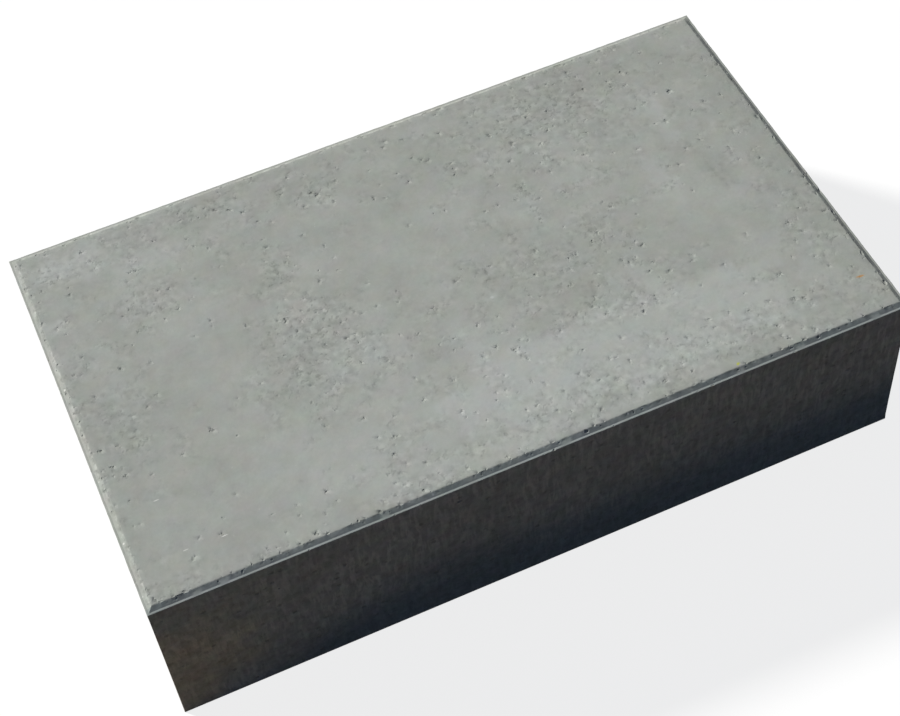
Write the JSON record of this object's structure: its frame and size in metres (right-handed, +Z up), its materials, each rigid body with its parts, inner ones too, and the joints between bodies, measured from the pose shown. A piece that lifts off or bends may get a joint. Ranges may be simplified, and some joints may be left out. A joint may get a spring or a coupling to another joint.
{
  "type": "concrete step block",
  "caption": "Solid precast concrete block step with a flat tread, plain upright sides and a low chamfer set back behind a narrow lip round the tread.",
  "frame": {"origin": "middle of the underside", "axes": "+X along the step, +Y from the riser at the front to the back, +Z up to the tread"},
  "size_m": [0.6, 0.35, 0.15],
  "materials": {
    "concrete": "matte"
  },
  "bodies": {
    "root": {"step_block": "concrete"}
  },
  "joints": []
}
